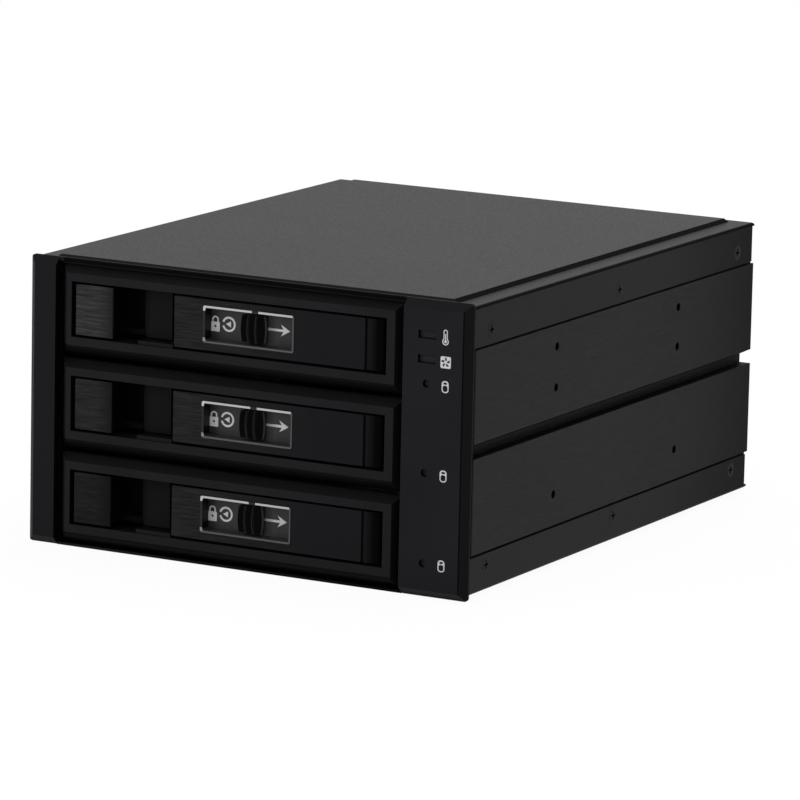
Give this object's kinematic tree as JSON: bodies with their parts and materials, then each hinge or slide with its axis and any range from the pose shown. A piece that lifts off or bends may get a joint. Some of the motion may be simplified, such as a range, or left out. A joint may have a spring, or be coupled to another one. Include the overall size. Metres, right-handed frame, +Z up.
{
  "type": "hot swap drive cage",
  "caption": "Hot swap drive cage for stacked drive bays: removable trays with swinging lever handles and slide locks, status lights, backplane and rear fan.",
  "frame": {"origin": "middle of the footprint, on the level of the bezel's foot", "axes": "+X to the right seen from the front, +Y from the front to the back, +Z up"},
  "size_m": [0.146, 0.1848, 0.0857],
  "materials": {
    "bezel_black": "satin moulded plastic, fine texture",
    "lamp_clear": "clear light pipe",
    "board_green": "solder mask",
    "led_white": "moulded chip",
    "screw_black": "black oxide",
    "cover_paint": "fine texture powder coat, dark grey",
    "side_aluminium": "brushed and anodised black",
    "black_plastic": "moulded",
    "port_black": "moulded",
    "screw_steel": "zinc plated",
    "fan_black": "glass filled plastic",
    "bearing_brass": "sintered",
    "shaft_steel": "ground",
    "tray_steel": "black powder coat",
    "tray_black": "satin moulded plastic",
    "brushed_plate": "brushed and anodised black",
    "lever_black": "satin moulded plastic",
    "window_grey": "satin, with a light rim",
    "slider_black": "polished ribs"
  },
  "bodies": {
    "cage": {"front_bezel": "bezel_black", "status_windows": "lamp_clear", "led_board": "board_green", "led_chips": "led_white", "led_board_screws": "screw_black", "top_cover": "cover_paint", "bottom_cover": "cover_paint", "cover_screws": "screw_black", "side_panel_right": "side_aluminium", "side_panel_left": "side_aluminium", "bay_wall_right": "tray_steel", "bay_wall_left": "tray_steel", "tray_guides_right": "black_plastic", "tray_guides_left": "black_plastic", "backplane_board": "board_green", "drive_connectors": "black_plastic", "data_ports": "port_black", "power_inlets": "port_black", "backplane_screws": "screw_steel", "rear_panel": "cover_paint", "rear_screws": "screw_black", "fan_housing": "fan_black", "fan_bearing": "bearing_brass", "fan_screws": "screw_black"},
    "fan": {"fan_rotor": "fan_black", "fan_shaft": "shaft_steel"},
    "tray_1": {"tray_1_base": "tray_steel", "tray_1_front": "tray_black", "tray_1_trim": "brushed_plate", "tray_1_hinge_pin": "shaft_steel", "tray_1_screws": "screw_steel"},
    "handle_1": {"handle_1_lever": "lever_black", "handle_1_face": "brushed_plate", "handle_1_window": "window_grey"},
    "lock_1": {"lock_1_slider": "slider_black"},
    "tray_2": {"tray_2_base": "tray_steel", "tray_2_front": "tray_black", "tray_2_trim": "brushed_plate", "tray_2_hinge_pin": "shaft_steel", "tray_2_screws": "screw_steel"},
    "handle_2": {"handle_2_lever": "lever_black", "handle_2_face": "brushed_plate", "handle_2_window": "window_grey"},
    "lock_2": {"lock_2_slider": "slider_black"},
    "tray_3": {"tray_3_base": "tray_steel", "tray_3_front": "tray_black", "tray_3_trim": "brushed_plate", "tray_3_hinge_pin": "shaft_steel", "tray_3_screws": "screw_steel"},
    "handle_3": {"handle_3_lever": "lever_black", "handle_3_face": "brushed_plate", "handle_3_window": "window_grey"},
    "lock_3": {"lock_3_slider": "slider_black"}
  },
  "joints": [
    {"name": "fan_spin", "type": "hinge", "parent": "cage", "child": "fan", "pos_m": [-0.022, 0.0826, 0.0431], "axis": [0, 1, 0], "continuous": true},
    {"name": "tray_1_slide", "type": "slide", "parent": "cage", "child": "tray_1", "axis": [0, -1, 0], "range_m": [0, 0.15]},
    {"name": "handle_1_swing", "type": "hinge", "parent": "tray_1", "child": "handle_1", "pos_m": [0.0419, -0.0874, 0.0149], "axis": [0, 0, 1], "range_deg": [0, 75]},
    {"name": "lock_1_slide", "type": "slide", "parent": "handle_1", "child": "lock_1", "axis": [1, 0, 0], "range_m": [0, 0.0045], "stiffness_N_per_m": 300},
    {"name": "tray_2_slide", "type": "slide", "parent": "cage", "child": "tray_2", "axis": [0, -1, 0], "range_m": [0, 0.15]},
    {"name": "handle_2_swing", "type": "hinge", "parent": "tray_2", "child": "handle_2", "pos_m": [0.0419, -0.0874, 0.04275], "axis": [0, 0, 1], "range_deg": [0, 75]},
    {"name": "lock_2_slide", "type": "slide", "parent": "handle_2", "child": "lock_2", "axis": [1, 0, 0], "range_m": [0, 0.0045], "stiffness_N_per_m": 300},
    {"name": "tray_3_slide", "type": "slide", "parent": "cage", "child": "tray_3", "axis": [0, -1, 0], "range_m": [0, 0.15]},
    {"name": "handle_3_swing", "type": "hinge", "parent": "tray_3", "child": "handle_3", "pos_m": [0.0419, -0.0874, 0.0706], "axis": [0, 0, 1], "range_deg": [0, 75]},
    {"name": "lock_3_slide", "type": "slide", "parent": "handle_3", "child": "lock_3", "axis": [1, 0, 0], "range_m": [0, 0.0045], "stiffness_N_per_m": 300}
  ]
}
